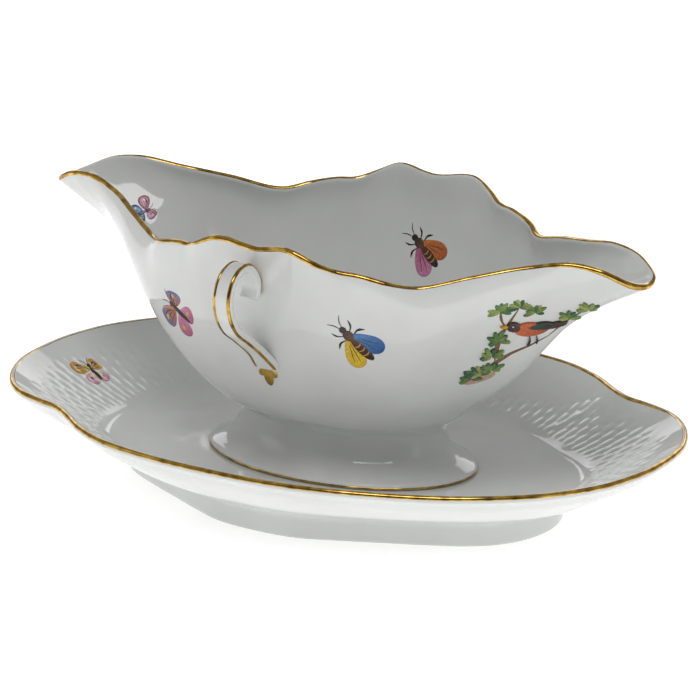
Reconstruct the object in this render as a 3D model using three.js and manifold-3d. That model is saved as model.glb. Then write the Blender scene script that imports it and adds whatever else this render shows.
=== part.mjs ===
// Double-lipped sauce boat on an oval stand, in glazed porcelain.
// Millimetres, +Z up, +X along the spouts. The origin is on the table, under the middle of the stand.
// The boat lifts off the stand. Every piece is one closed solid.
import * as THREE from "three";
import { mergeVertices } from "three/addons/utils/BufferGeometryUtils.js";
import Module from "manifold-3d";

const wasm = await Module();
wasm.setup();

// Driving dimensions
const JOINT_GAP = 0.3; // clearance between neighbouring pieces
const RIM_STEPS = 96; // points around the boat and the stand, a multiple of 4
const FOOT_STEPS = 64; // points around the two feet, a multiple of 4

const STAND_RING_HEIGHT = 8; // foot ring, table to underside of the dish
const STAND_RING_WALL = 5;
// One quarter of the foot ring's outside, from the end to the middle of the long side
const STAND_RING_OUTLINE = [
  [80.5, 0], [79, 11], [74, 21], [66, 28.5], [55, 35], [40, 42.5], [28, 48.5], [15, 54], [0, 55.5],
];
const WELL_HEIGHT = 12; // table to the flat well that the boat stands in
const STAND_RIM_HEIGHT = 31;
const STAND_RIM_WALL = 2.8;
const STAND_LENGTH = 240;
const STAND_WIDTH = 176.4;
// Half of the stand's outline, from one end round the +Y side, with a notch in one corner.
// The other half is this one turned half way round.
const STAND_OUTLINE = [
  [120, 0], [117, 24], [108, 42.5], [97, 53.5], [85, 58.6], [76, 61.2],
  [68, 66.4], [57, 75], [42, 82.8], [22, 87], [0, 88.2], [-31, 86],
  [-60, 77], [-84, 64.5], [-103, 48], [-115, 28.5], [-119, 13],
];
// The dish from the well out to the rim: part of the way out, and part of the way up
const STAND_PROFILE = [
  [0.62, 0], [0.7, 0.08], [0.8, 0.28], [0.89, 0.57], [0.95, 0.8], [1, 1],
];

const FOOT_BASE_LENGTH = 98; // boat's foot where it meets the stand
const FOOT_BASE_WIDTH = 68;
const WAIST_LENGTH = 75; // neck between the foot and the bowl
const WAIST_WIDTH = 48;
const WAIST_HEIGHT = 28.5;
const FOOT_WALL = 4;

const BOWL_WALL = 3.2; // at the waist
const LIP_WALL = 2.4; // at the rim
const FLOOR_WALL = 4; // middle of the bowl's floor
// One quarter of the rim, from the tip of a spout to the middle of the side:
// the lip climbs to a crest, dips where the spout ends, and ripples over the handle
const BOWL_RIM = [
  [115, 0, 90], [112.8, 7.6, 91.5], [104, 12.9, 96], [94, 15.7, 97.6], [80, 21, 95.6],
  [66, 30.2, 92.3], [51.8, 39.1, 88.5], [44.5, 46, 89.9], [35.5, 49.9, 91.9], [29.5, 51.9, 92.5],
  [23, 56, 94.8], [15.5, 58.2, 98], [11, 57.7, 98.4], [5, 57.1, 97.4], [0, 57.2, 96.8],
];
// The wall from the waist up to the rim: part of the way out, and part of the way up
const SPOUT_PROFILE = [
  [0, 0], [0.08, 0.06], [0.15, 0.14], [0.27, 0.25], [0.4, 0.4],
  [0.5, 0.55], [0.61, 0.7], [0.75, 0.83], [1, 1],
];
const SIDE_PROFILE = [
  [0, 0], [0.26, 0.06], [0.46, 0.14], [0.62, 0.26], [0.73, 0.4],
  [0.83, 0.55], [0.91, 0.7], [0.98, 0.86], [1, 1],
];
const BOWL_LEVELS = [0, 0.03, 0.07, 0.13, 0.21, 0.3, 0.4, 0.5, 0.6, 0.7, 0.79, 0.87, 0.94, 1];
const BELLY_HOLD = 4.5; // how long the oval belly lasts before it takes the rim's lobed shape

const HANDLE_WIDTH = 7;
const HANDLE_THICKNESS = 2.8;
const HANDLE_FLARE = 1.4; // how much wider the strap is at its lower end
const HANDLE_FLARE_END = 0.17; // the flare is over by this part of the strap's length
const HANDLE_STEPS = 40;
// The middle of the strap, out from the bowl and up: lower end, outward sweep, top, scrolled end
const HANDLE_PATH = [
  [43.5, 51.5], [48.7, 56.5], [54.5, 62], [62.7, 68.1], [69.5, 73], [73.3, 78.8], [74.2, 84],
  [72.4, 89], [68.6, 92], [64, 92.5], [60.2, 90], [57.9, 86], [58.5, 81.5],
];

const PORCELAIN = 0xe9edec;

// A point of an oval at a given angle
function ovalPoint(length, width, angle, height) {
  const x = (length / 2) * Math.cos(angle);
  const y = (width / 2) * Math.sin(angle);
  return new THREE.Vector3(x, y, height);
}

function ovalRing(length, width, height, steps) {
  const ring = [];
  for (let i = 0; i < steps; i += 1) {
    ring.push(ovalPoint(length, width, (2 * Math.PI * i) / steps, height));
  }
  return ring;
}

// A closed smooth ring through a quarter outline and its three reflections
function mirroredRing(quarter, steps) {
  const first = quarter.map(([x, y, z = 0]) => new THREE.Vector3(x, y, z));
  const second = first.slice(0, -1).reverse().map((p) => new THREE.Vector3(-p.x, p.y, p.z));
  const third = first.slice(1).map((p) => new THREE.Vector3(-p.x, -p.y, p.z));
  const fourth = first.slice(1, -1).reverse().map((p) => new THREE.Vector3(p.x, -p.y, p.z));
  const curve = new THREE.CatmullRomCurve3([...first, ...second, ...third, ...fourth], true, "centripetal");
  curve.arcLengthDivisions = 2000;
  return curve.getSpacedPoints(steps).slice(0, steps);
}

// A closed smooth ring through half an outline and the same half turned half way round
function turnedRing(half, steps) {
  const first = half.map(([x, y]) => new THREE.Vector3(x, y, 0));
  const second = first.map((p) => new THREE.Vector3(-p.x, -p.y, 0));
  const curve = new THREE.CatmullRomCurve3([...first, ...second], true, "centripetal");
  curve.arcLengthDivisions = 2000;
  return curve.getSpacedPoints(steps).slice(0, steps);
}

// An open smooth curve through plan points
function planCurve(points) {
  return new THREE.CatmullRomCurve3(points.map(([x, y]) => new THREE.Vector3(x, y, 0)), false, "centripetal");
}

// How far out a wall is at a part of its height, by halving the interval
function partOut(profile, up) {
  const curve = planCurve(profile);
  let low = 0;
  let high = 1;
  for (let i = 0; i < 30; i += 1) {
    const middle = (low + high) / 2;
    if (curve.getPoint(middle).y < up) {
      low = middle;
    } else {
      high = middle;
    }
  }
  return curve.getPoint(low).x;
}

// Joins rings of equal length into one closed surface. The ends are closed by a centre point,
// or the last ring is joined back to the first.
function shellGeometry(rings, firstCentre, lastCentre) {
  const steps = rings[0].length;
  const points = rings.flat();
  const faces = [];
  const bands = firstCentre ? rings.length - 1 : rings.length;
  for (let j = 0; j < bands; j += 1) {
    const low = j * steps;
    const high = ((j + 1) % rings.length) * steps;
    for (let i = 0; i < steps; i += 1) {
      const next = (i + 1) % steps;
      faces.push(low + i, low + next, high + next);
      faces.push(low + i, high + next, high + i);
    }
  }
  if (firstCentre) {
    const top = (rings.length - 1) * steps;
    points.push(firstCentre, lastCentre);
    for (let i = 0; i < steps; i += 1) {
      const next = (i + 1) % steps;
      faces.push(points.length - 2, next, i);
      faces.push(points.length - 1, top + i, top + next);
    }
  }
  const geometry = new THREE.BufferGeometry().setFromPoints(points);
  geometry.setIndex(faces);
  geometry.computeVertexNormals();
  return geometry;
}

// The outward direction of a grid of rings at every point, by differences along and across the rings
function ringNormals(rings) {
  const steps = rings[0].length;
  return rings.map((ring, j) =>
    ring.map((point, i) => {
      const along = ring[(i + 1) % steps].clone().sub(ring[(i + steps - 1) % steps]);
      const above = rings[Math.min(j + 1, rings.length - 1)][i];
      const below = rings[Math.max(j - 1, 0)][i];
      return along.cross(above.clone().sub(below)).normalize();
    }),
  );
}

function offsetRing(ring, normals, distance) {
  return ring.map((point, i) => point.clone().addScaledVector(normals[i], distance));
}

// The outside of the bowl, ring by ring from the waist to the rim
function bowlOutside() {
  const rim = mirroredRing(BOWL_RIM, RIM_STEPS);
  const rimLength = BOWL_RIM[0][0];
  const rimWidth = BOWL_RIM.at(-1)[1];
  const oval = ovalRing(2, 2, 0, RIM_STEPS);
  const rings = [];
  for (const up of BOWL_LEVELS) {
    const halfLength = THREE.MathUtils.lerp(WAIST_LENGTH / 2, rimLength, partOut(SPOUT_PROFILE, up));
    const halfWidth = THREE.MathUtils.lerp(WAIST_WIDTH / 2, rimWidth, partOut(SIDE_PROFILE, up));
    const lobes = up ** BELLY_HOLD;
    rings.push(
      rim.map((top, i) => {
        const x = THREE.MathUtils.lerp(oval[i].x, top.x / rimLength, lobes) * halfLength;
        const y = THREE.MathUtils.lerp(oval[i].y, top.y / rimWidth, lobes) * halfWidth;
        const z = THREE.MathUtils.lerp(WAIST_HEIGHT, top.z, up);
        return new THREE.Vector3(x, y, z);
      }),
    );
  }
  return rings;
}

// The bowl: outside wall, rounded lip, inside wall and floor
function bowlGeometry() {
  const outside = bowlOutside();
  const normals = ringNormals(outside);
  const last = outside.length - 1;
  const inside = outside.map((ring, j) => {
    const wall = THREE.MathUtils.lerp(BOWL_WALL, LIP_WALL, j / last);
    return offsetRing(ring, normals[j], -wall);
  });
  // the lip is level across, with a small crown
  for (let i = 0; i < RIM_STEPS; i += 1) {
    inside[last][i].z = outside[last][i].z;
  }
  const crown = outside[last].map((point, i) => {
    const middle = point.clone().lerp(inside[last][i], 0.5);
    middle.z += LIP_WALL * 0.3;
    return middle;
  });
  const floor = new THREE.Vector3(0, 0, WAIST_HEIGHT + FLOOR_WALL);
  const underside = new THREE.Vector3(0, 0, WAIST_HEIGHT);
  return shellGeometry([...outside, crown, ...inside.reverse()], underside, floor);
}

// The bowl's outside grown by the joint gap and closed on top, to trim the handles where they meet it
function bowlEnvelope() {
  const outside = bowlOutside();
  const normals = ringNormals(outside);
  const grown = outside.map((ring, j) => offsetRing(ring, normals[j], JOINT_GAP));
  const middle = new THREE.Vector3(0, 0, WAIST_HEIGHT);
  const top = new THREE.Vector3(0, 0, BOWL_RIM.at(-1)[2]);
  return shellGeometry(grown, middle, top);
}

// The foot: a flared oval skirt, open through the middle
function footGeometry() {
  const top = WAIST_HEIGHT - JOINT_GAP;
  const base = WELL_HEIGHT + JOINT_GAP;
  const height = top - base;
  const rings = [];
  // outside, from the top down: part of the way out to the base, and part of the way up
  const outside = [[0, 1], [0.04, 0.8], [0.16, 0.56], [0.4, 0.33], [0.78, 0.17], [1, 0.1], [1, 0]];
  for (const [out, up] of outside.reverse()) {
    const length = THREE.MathUtils.lerp(WAIST_LENGTH, FOOT_BASE_LENGTH, out);
    const width = THREE.MathUtils.lerp(WAIST_WIDTH, FOOT_BASE_WIDTH, out);
    rings.push(ovalRing(length, width, base + up * height, FOOT_STEPS));
  }
  // inside, from the top down
  const inside = [[0, 1], [0.1, 0.66], [0.45, 0.4], [0.85, 0]];
  for (const [out, up] of inside) {
    const length = THREE.MathUtils.lerp(WAIST_LENGTH, FOOT_BASE_LENGTH, out) - 2 * FOOT_WALL;
    const width = THREE.MathUtils.lerp(WAIST_WIDTH, FOOT_BASE_WIDTH, out) - 2 * FOOT_WALL;
    rings.push(ovalRing(length, width, base + up * height, FOOT_STEPS));
  }
  return shellGeometry(rings);
}

// A flat ring moved inwards in its own plane and set at a height
function insetRing(ring, inset, height) {
  const steps = ring.length;
  return ring.map((point, i) => {
    const along = ring[(i + 1) % steps].clone().sub(ring[(i + steps - 1) % steps]).normalize();
    return new THREE.Vector3(point.x - inset * along.y, point.y + inset * along.x, height);
  });
}

// The stand's dish: underside, rounded rim, and the upper face down to the flat well
function standDishGeometry() {
  const outline = turnedRing(STAND_OUTLINE, RIM_STEPS);
  const crest = insetRing(outline, STAND_RIM_WALL * 0.3, 0);
  const well = ovalRing(STAND_LENGTH, STAND_WIDTH, 0, RIM_STEPS);
  const start = STAND_PROFILE[0][0];
  const upper = planCurve(STAND_PROFILE).getSpacedPoints(7).map(({ x: out, y: up }) =>
    crest.map((edge, i) => {
      // the well is a plain oval, and the lobes grow towards the rim
      const lobe = (out - start) / (1 - start);
      const x = THREE.MathUtils.lerp(well[i].x, edge.x, lobe) * out;
      const y = THREE.MathUtils.lerp(well[i].y, edge.y, lobe) * out;
      const z = THREE.MathUtils.lerp(WELL_HEIGHT, STAND_RIM_HEIGHT, up);
      return new THREE.Vector3(x, y, z);
    }),
  );
  const normals = ringNormals(upper);
  const last = upper.length - 1;
  const underHeight = STAND_RING_HEIGHT + JOINT_GAP;
  const under = upper.slice(0, last).map((ring, j) => {
    const wall = THREE.MathUtils.lerp(WELL_HEIGHT - underHeight, STAND_RIM_WALL, Math.min(1, (2 * j) / last));
    const lowered = offsetRing(ring, normals[j], wall);
    for (const point of lowered) {
      point.z = Math.max(point.z, underHeight);
    }
    return lowered;
  });
  for (const point of under[0]) {
    point.z = underHeight;
  }
  const edge = insetRing(outline, 0, STAND_RIM_HEIGHT - STAND_RIM_WALL * 0.4);
  const lowerEdge = insetRing(outline, STAND_RIM_WALL * 0.2, STAND_RIM_HEIGHT - STAND_RIM_WALL);
  const bottom = new THREE.Vector3(0, 0, underHeight);
  const centre = new THREE.Vector3(0, 0, WELL_HEIGHT);
  return shellGeometry([...under, lowerEdge, edge, ...upper.reverse()], bottom, centre);
}

// The raised ring under the stand that it rests on, with a small bevel at the table
function standRingGeometry() {
  const outline = mirroredRing(STAND_RING_OUTLINE, FOOT_STEPS);
  const bevel = 1;
  return shellGeometry([
    insetRing(outline, bevel, 0),
    insetRing(outline, 0, bevel),
    insetRing(outline, 0, STAND_RING_HEIGHT),
    insetRing(outline, STAND_RING_WALL, STAND_RING_HEIGHT),
    insetRing(outline, STAND_RING_WALL, 0),
  ]);
}

// A geometry as a solid that can be cut
function solidOf(geometry) {
  const bare = geometry.clone();
  bare.deleteAttribute("normal");
  const merged = mergeVertices(bare);
  const vertProperties = merged.attributes.position.array;
  const triVerts = new Uint32Array(merged.index.array);
  return new wasm.Manifold(new wasm.Mesh({ numProp: 3, vertProperties, triVerts }));
}

function geometryOf(solid) {
  const mesh = solid.getMesh();
  const geometry = new THREE.BufferGeometry();
  geometry.setAttribute("position", new THREE.BufferAttribute(mesh.vertProperties, 3));
  geometry.setIndex(new THREE.BufferAttribute(mesh.triVerts, 1));
  geometry.computeVertexNormals();
  return geometry;
}

// A handle: a flat strap swept along the scroll, wider at its lower end, and cut to fit the bowl's wall.
// Side is 1 for the handle towards +Y, and -1 for the one towards -Y.
function handleGeometry(side) {
  const path = HANDLE_PATH.map(([out, up]) => new THREE.Vector3(0, side * out, up));
  const curve = new THREE.CatmullRomCurve3(path, false, "centripetal");
  const across = new THREE.Vector3(side, 0, 0);
  const sides = 12;
  const rings = [];
  for (let j = 0; j <= HANDLE_STEPS; j += 1) {
    const part = j / HANDLE_STEPS;
    const centre = curve.getPointAt(part);
    const away = curve.getTangentAt(part).cross(across);
    const narrowing = THREE.MathUtils.smoothstep(part, 0, HANDLE_FLARE_END);
    const flare = THREE.MathUtils.lerp(HANDLE_FLARE, 1, narrowing);
    const ring = [];
    for (let i = 0; i < sides; i += 1) {
      const angle = (2 * Math.PI * i) / sides;
      // a rounded oblong section
      const x = Math.sign(Math.cos(angle)) * Math.sqrt(Math.abs(Math.cos(angle)));
      const y = Math.sign(Math.sin(angle)) * Math.sqrt(Math.abs(Math.sin(angle)));
      const point = centre.clone();
      point.addScaledVector(across, (x * flare * HANDLE_WIDTH) / 2);
      point.addScaledVector(away, (y * HANDLE_THICKNESS) / 2);
      ring.push(point);
    }
    rings.push(ring);
  }
  const strap = shellGeometry(rings, curve.getPointAt(0), curve.getPointAt(1));
  return geometryOf(solidOf(strap).subtract(solidOf(bowlEnvelope())));
}

function addPiece(group, name, geometry) {
  const material = new THREE.MeshStandardMaterial({ color: PORCELAIN, roughness: 0.12, metalness: 0 });
  const mesh = new THREE.Mesh(geometry, material);
  mesh.name = name;
  group.add(mesh);
}

const sauceBoat = new THREE.Group();
addPiece(sauceBoat, "stand_dish", standDishGeometry());
addPiece(sauceBoat, "stand_foot_ring", standRingGeometry());
addPiece(sauceBoat, "boat_foot", footGeometry());
addPiece(sauceBoat, "boat_bowl", bowlGeometry());
addPiece(sauceBoat, "handle_front", handleGeometry(-1));
addPiece(sauceBoat, "handle_back", handleGeometry(1));

export default sauceBoat;
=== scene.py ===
import math

import bpy
import numpy as np
from mathutils import Matrix, Vector


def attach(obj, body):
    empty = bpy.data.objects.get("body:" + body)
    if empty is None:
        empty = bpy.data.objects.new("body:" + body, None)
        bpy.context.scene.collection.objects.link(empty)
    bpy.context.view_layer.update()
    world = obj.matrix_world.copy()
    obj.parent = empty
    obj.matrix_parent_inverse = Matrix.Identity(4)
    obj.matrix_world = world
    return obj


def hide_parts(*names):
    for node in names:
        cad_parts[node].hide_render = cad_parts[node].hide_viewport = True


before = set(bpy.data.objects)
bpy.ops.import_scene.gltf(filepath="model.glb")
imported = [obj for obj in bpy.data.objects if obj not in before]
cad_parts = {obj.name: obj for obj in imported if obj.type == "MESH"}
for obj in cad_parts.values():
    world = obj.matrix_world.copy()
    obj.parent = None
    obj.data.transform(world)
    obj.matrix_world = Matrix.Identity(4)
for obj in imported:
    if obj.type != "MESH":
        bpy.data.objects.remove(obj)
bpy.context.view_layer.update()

# ----------------------------------------------------------------------------------------------
# The stand: an oval dish on a lobed foot ring, slip-cast in hard porcelain as one piece, with a
# low moulded basket weave and a ridge running in from each of its two notched corners, then
# dipped in clear glaze and fired. Only the foot ring's edge touches the table.
# ----------------------------------------------------------------------------------------------
MM = 0.001  # sizes are written in millimetres, and the scene is in metres
STAND_STEPS = 1008  # points round the stand, seven to each stave of the weave
STAND_RIM_HEIGHT = 31.0
STAND_EDGE_RADIUS = 1.4
WELL_HEIGHT = 12.0
WELL_PART = 0.62  # the flat well's share of the whole length and width
RECESS_HEIGHT = 8.0  # how far the middle stands off the table, inside the foot ring
STAND_OVAL = (120.0, 88.2)
STAND_HALF_OUTLINE = [
    (120, 0), (117, 24), (108, 42.5), (97, 53.5), (85, 58.6), (76, 61.2), (68, 66.4), (57, 75),
    (42, 82.8), (22, 87), (0, 88.2), (-31, 86), (-60, 77), (-84, 64.5), (-103, 48), (-115, 28.5),
    (-119, 13),
]
STAND_FOOT_QUARTER = [
    (80.5, 0), (79, 11), (74, 21), (66, 28.5), (55, 35), (40, 42.5), (28, 48.5), (15, 54), (0, 55.5),
]


def smooth_through(points, count, closed):
    """Evenly spaced points on a centripetal curve through the given ones."""
    p = np.array(points, float)
    ends = (p[-1:], p[:2]) if closed else (2 * p[:1] - p[1:2], 2 * p[-1:] - p[-2:-1])
    p = np.vstack([ends[0], p, ends[1]])
    t = np.linspace(0, 1, 60, endpoint=False)[:, None]
    fine = []
    for a, b, c, d in zip(p, p[1:], p[2:], p[3:]):
        k1, k2, k3 = (max(np.linalg.norm(q), 1e-9) ** 0.5 for q in (b - a, c - b, d - c))
        leave = ((b - a) / k1 - (c - a) / (k1 + k2) + (c - b) / k2) * k2
        arrive = ((c - b) / k2 - (d - b) / (k2 + k3) + (d - c) / k3) * k2
        fine.append(
            (2 * t**3 - 3 * t**2 + 1) * b + (t**3 - 2 * t**2 + t) * leave
            + (3 * t**2 - 2 * t**3) * c + (t**3 - t**2) * arrive
        )
    fine = np.vstack(fine + [p[-2:-1]])
    along = np.concatenate([[0], np.cumsum(np.linalg.norm(np.diff(fine, axis=0), axis=1))])
    at = np.linspace(0, along[-1], count, endpoint=not closed)
    return np.stack([np.interp(at, along, fine[:, k]) for k in range(fine.shape[1])], axis=1)


def all_quarters(quarter):
    """A quarter outline and its three reflections, as one loop."""
    q = np.array(quarter, float)
    flip = np.ones(q.shape[1])
    flip_x, flip_y, flip_xy = flip.copy(), flip.copy(), flip.copy()
    flip_x[0] = flip_y[1] = flip_xy[0] = flip_xy[1] = -1
    return np.vstack([q, (q * flip_x)[-2::-1], (q * flip_xy)[1:], (q * flip_y)[-2:0:-1]])


def inset(loop, distance):
    """A flat loop moved inwards in its own plane."""
    along = np.roll(loop, -1, axis=0) - np.roll(loop, 1, axis=0)
    along /= np.linalg.norm(along, axis=1)[:, None]
    return loop + distance * np.stack([-along[:, 1], along[:, 0]], axis=1)


def at_height(loop, height):
    """A flat loop set at a height."""
    return np.column_stack([loop, np.full(len(loop), float(height))])


def blend(a, b, share):
    """From a to b by the share."""
    return a + (b - a) * share


def ease(low, high, value):
    """From 0 at low to 1 at high, softly."""
    t = np.clip((value - low) / (high - low), 0, 1)
    return t * t * (3 - 2 * t)


def loft(name, rings, start, end):
    """A closed piece from rings of equal length, closed at both ends by a middle point."""
    rings = np.array(rings)
    count, steps = rings.shape[:2]
    low = np.arange(count - 1)[:, None] * steps
    here = np.arange(steps)[None, :]
    after = (here + 1) % steps
    quads = np.stack([low + here, low + after, low + steps + after, low + steps + here], axis=-1)
    first, last, top = count * steps, count * steps + 1, (count - 1) * steps
    faces = quads.reshape(-1, 4).tolist()
    faces += [(first, (i + 1) % steps, i) for i in range(steps)]
    faces += [(last, top + i, top + (i + 1) % steps) for i in range(steps)]
    points = np.vstack([rings.reshape(-1, 3), [start, end]]) * MM
    mesh = bpy.data.meshes.new(name)
    mesh.from_pydata(points.tolist(), [], faces)
    mesh.polygons.foreach_set("use_smooth", np.ones(len(faces), bool))
    mesh.update()
    piece = bpy.data.objects.new(name, mesh)
    bpy.context.scene.collection.objects.link(piece)
    return piece


outline = smooth_through(
    STAND_HALF_OUTLINE + [(-x, -y) for x, y in STAND_HALF_OUTLINE], STAND_STEPS, True
)
foot_outline = smooth_through(all_quarters(STAND_FOOT_QUARTER), STAND_STEPS, True)
angles = np.linspace(0, 2 * math.pi, STAND_STEPS, endpoint=False)
well_oval = np.stack([STAND_OVAL[0] * np.cos(angles), STAND_OVAL[1] * np.sin(angles)], axis=1)

# underneath: recess, foot ring, then the flaring underside, as (inset, height)
stand_rings = [at_height(inset(foot_outline, 5) * part, RECESS_HEIGHT) for part in (0.3, 0.75)]
for gap, height in [
    (8, RECESS_HEIGHT), (5.9, 7.6), (5.1, 6.6), (4.8, 1.2), (4.2, 0.2), (3.4, 0), (1.3, 0),
    (0.4, 0.4), (0, 1.3), (0, 6.2), (-0.2, 7.8),
]:
    stand_rings.append(at_height(inset(foot_outline, gap), height))
under_edge = inset(outline, STAND_EDGE_RADIUS * 0.8)
for out, height in smooth_through(
    [(0.035, 8.7), (0.14, 10.3), (0.42, 14), (0.7, 19.8), (0.89, 24.4), (1, 28.3)], 14, False
):
    stand_rings.append(at_height(blend(foot_outline, under_edge, out), height))
# the rounded edge
for angle in np.radians(np.linspace(-62, 90, 8)):
    gap = STAND_EDGE_RADIUS * (1 - math.cos(angle))
    rise = STAND_EDGE_RADIUS * (math.sin(angle) - 1)
    stand_rings.append(at_height(inset(outline, gap), STAND_RIM_HEIGHT + rise))
# the upper face, from the edge in to the flat well
crest = inset(outline, STAND_EDGE_RADIUS)
first_upper = len(stand_rings)
upper_profile = smooth_through(
    [(1, 1), (0.95, 0.8), (0.89, 0.57), (0.8, 0.28), (0.745, 0.145), (0.7, 0.055), (WELL_PART, 0)],
    58, False
)[1:]
for out, up in upper_profile:
    lobes = (out - WELL_PART) / (1 - WELL_PART)
    ring = blend(well_oval, crest, lobes) * out
    stand_rings.append(at_height(ring, WELL_HEIGHT + up * (STAND_RIM_HEIGHT - WELL_HEIGHT)))
last_upper = len(stand_rings)
for out in (0.42, 0.2):
    stand_rings.append(at_height(well_oval * out, WELL_HEIGHT))
stand = loft("stand_porcelain", stand_rings, (0, 0, RECESS_HEIGHT), (0, 0, WELL_HEIGHT))

# where the weave and the ridges are moulded, kept on the mesh as shares: a full panel of weave on
# each end's side of the ridge, a few rows along the ridge's other side, and rows by the well
WEAVE_STAVES = 144  # bricks of the weave round the stand
WEAVE_DIRECTION, WEAVE_SPREAD = 20, 38  # degrees round from the stand's end
RIDGE_HALF_WIDTH, BAND_WIDTH = 1.3, 8
OVAL_RATIO = 1.36  # the stand's length over its width, to even out directions round it
MEAN_REACH = 104  # from the middle to the edge, taken over the whole oval
ridge_line = smooth_through(
    [(68.6, 65.9), (63, 62), (58, 59.2), (52.6, 56.8), (46.5, 54.2)], 60, False
)
ridge_middle, across_ridge = (57, 59), (0.49, -0.87)
upper = np.array(stand_rings[first_upper:last_upper])
fraction = np.repeat(upper_profile[:, 0], STAND_STEPS)
slant = np.hypot(
    np.diff(upper_profile[:, 0], prepend=1) * MEAN_REACH,
    np.diff(upper_profile[:, 1], prepend=1) * (STAND_RIM_HEIGHT - WELL_HEIGHT),
)
down_slope = np.repeat(np.cumsum(slant), STAND_STEPS)
weave, ridge = np.zeros(len(fraction)), np.zeros(len(fraction))
for side in (1, -1):
    flat = upper[:, :, :2].reshape(-1, 2) * side
    apart = flat[:, None, :] - ridge_line[None, ::3, :]
    distance = np.linalg.norm(apart, axis=2).min(axis=1)
    direction = np.degrees(np.arctan2(flat[:, 1] * OVAL_RATIO, flat[:, 0]))
    end_side = ease(-3, 3, (flat - ridge_middle) @ across_ridge)
    panel = np.exp(-(((direction - WEAVE_DIRECTION) / WEAVE_SPREAD) ** 4))
    field = panel * end_side * (1 - ease(0.88, 0.985, fraction))
    band = np.exp(-((distance / BAND_WIDTH) ** 2)) * (1 - end_side) * 1.15
    beside_well = (1 - ease(0.81, 0.87, fraction)) * 0.8
    inner_rows = beside_well * ease(-4, 18, direction) * (1 - ease(150, 190, direction))
    weave = np.maximum(weave, np.maximum(field, np.maximum(band, inner_rows)))
    fades = ease(0.74, 0.79, fraction) * (1 - ease(0.9, 0.97, fraction))
    ridge = np.maximum(ridge, np.exp(-((distance / RIDGE_HALF_WIDTH) ** 2)) * fades)
weave *= ease(0.735, 0.765, fraction) * (1 - ease(0.9, 0.98, fraction))
stave = np.tile(np.arange(STAND_STEPS) * WEAVE_STAVES / STAND_STEPS, len(upper))
upper_points = slice(first_upper * STAND_STEPS, last_upper * STAND_STEPS)
for name, values in (("weave", weave), ("ridge", ridge), ("stave", stave), ("down_slope", down_slope)):
    whole = np.zeros(len(stand.data.vertices))
    whole[upper_points] = values
    stand.data.attributes.new(name, "FLOAT", "POINT").data.foreach_set("value", whole)


def add(tree, kind, inputs=None, **settings):
    """A node with its settings, and its inputs as values or as links from other sockets."""
    node = tree.nodes.new(kind)
    for key, value in settings.items():
        setattr(node, key, value)
    for key, value in (inputs or {}).items():
        if isinstance(value, bpy.types.NodeSocket):
            tree.links.new(value, node.inputs[key])
        else:
            node.inputs[key].default_value = value
    return node


def new_tree(name, sizes):
    """A geometry tree with a geometry socket each way, and named inputs. Each input is given by its
    first value, or by its type where it has none."""
    tree = bpy.data.node_groups.new(name, "GeometryNodeTree")
    tree.interface.new_socket("Geometry", in_out="INPUT", socket_type="NodeSocketGeometry")
    for label, value in sizes.items():
        kind = {int: "Int", float: "Float"}.get(type(value), value)
        socket = tree.interface.new_socket(label, in_out="INPUT", socket_type=f"NodeSocket{kind}")
        if kind != value:
            socket.default_value = value
    tree.interface.new_socket("Geometry", in_out="OUTPUT", socket_type="NodeSocketGeometry")
    return tree, add(tree, "NodeGroupInput").outputs


def finish_tree(tree, geometry, material):
    """Ends a tree with real geometry that carries its material."""
    real = add(tree, "GeometryNodeRealizeInstances", {"Geometry": geometry})
    painted = add(tree, "GeometryNodeSetMaterial", {"Geometry": real.outputs[0], "Material": material})
    add(tree, "NodeGroupOutput", {"Geometry": painted.outputs[0]})


def grow(source, tree, values, name):
    """Runs the tree on the source object and keeps the result as a plain mesh piece."""
    modifier = source.modifiers.new(tree.name, "NODES")
    modifier.node_group = tree
    for item in tree.interface.items_tree:
        if item.item_type == "SOCKET" and item.in_out == "INPUT" and item.name in values:
            modifier[item.identifier] = values[item.name]
    bpy.context.view_layer.update()
    seen = source.evaluated_get(bpy.context.evaluated_depsgraph_get())
    mesh = bpy.data.meshes.new_from_object(seen)
    mesh.name = name
    source.modifiers.remove(modifier)
    bpy.data.objects.remove(source)
    piece = bpy.data.objects.new(name, mesh)
    bpy.context.scene.collection.objects.link(piece)
    return piece


# the moulding: each brick of the weave is a low pillow, half a brick further on in every other stave
moulding, given = new_tree(
    "moulded_weave",
    {"Brick Length": 6.4, "Weave Relief": 0.42, "Ridge Relief": 0.55, "Glaze": "Material"},
)


def math_node(operation, first, second=None):
    node = add(moulding, "ShaderNodeMath", {0: first}, operation=operation)
    if isinstance(second, bpy.types.NodeSocket):
        moulding.links.new(second, node.inputs[1])
    elif second is not None:
        node.inputs[1].default_value = second
    return node.outputs[0]


def kept(name):
    return add(moulding, "GeometryNodeInputNamedAttribute", {"Name": name}, data_type="FLOAT").outputs[0]


shift = math_node("MULTIPLY", math_node("FLOOR", kept("stave")), 0.5)
row = math_node("ADD", math_node("DIVIDE", kept("down_slope"), given["Brick Length"]), shift)
across = math_node("SUBTRACT", math_node("FRACT", kept("stave")), 0.5)
lengthwise = math_node("SUBTRACT", math_node("FRACT", row), 0.5)
round_across = math_node("COSINE", math_node("MULTIPLY", across, math.pi))
round_along = math_node("COSINE", math_node("MULTIPLY", lengthwise, math.pi))
pillow = math_node("MULTIPLY", round_across, math_node("POWER", round_along, 0.8))
raised = math_node("MULTIPLY", math_node("MULTIPLY", pillow, kept("weave")), given["Weave Relief"])
ridged = math_node("MULTIPLY", kept("ridge"), given["Ridge Relief"])
lift = math_node("MULTIPLY", math_node("ADD", raised, ridged), MM)
upright = add(moulding, "GeometryNodeInputNormal").outputs[0]
push = add(moulding, "ShaderNodeVectorMath", {0: upright, "Scale": lift}, operation="SCALE").outputs[0]
moulded = add(moulding, "GeometryNodeSetPosition", {"Geometry": given["Geometry"], "Offset": push})
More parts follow.
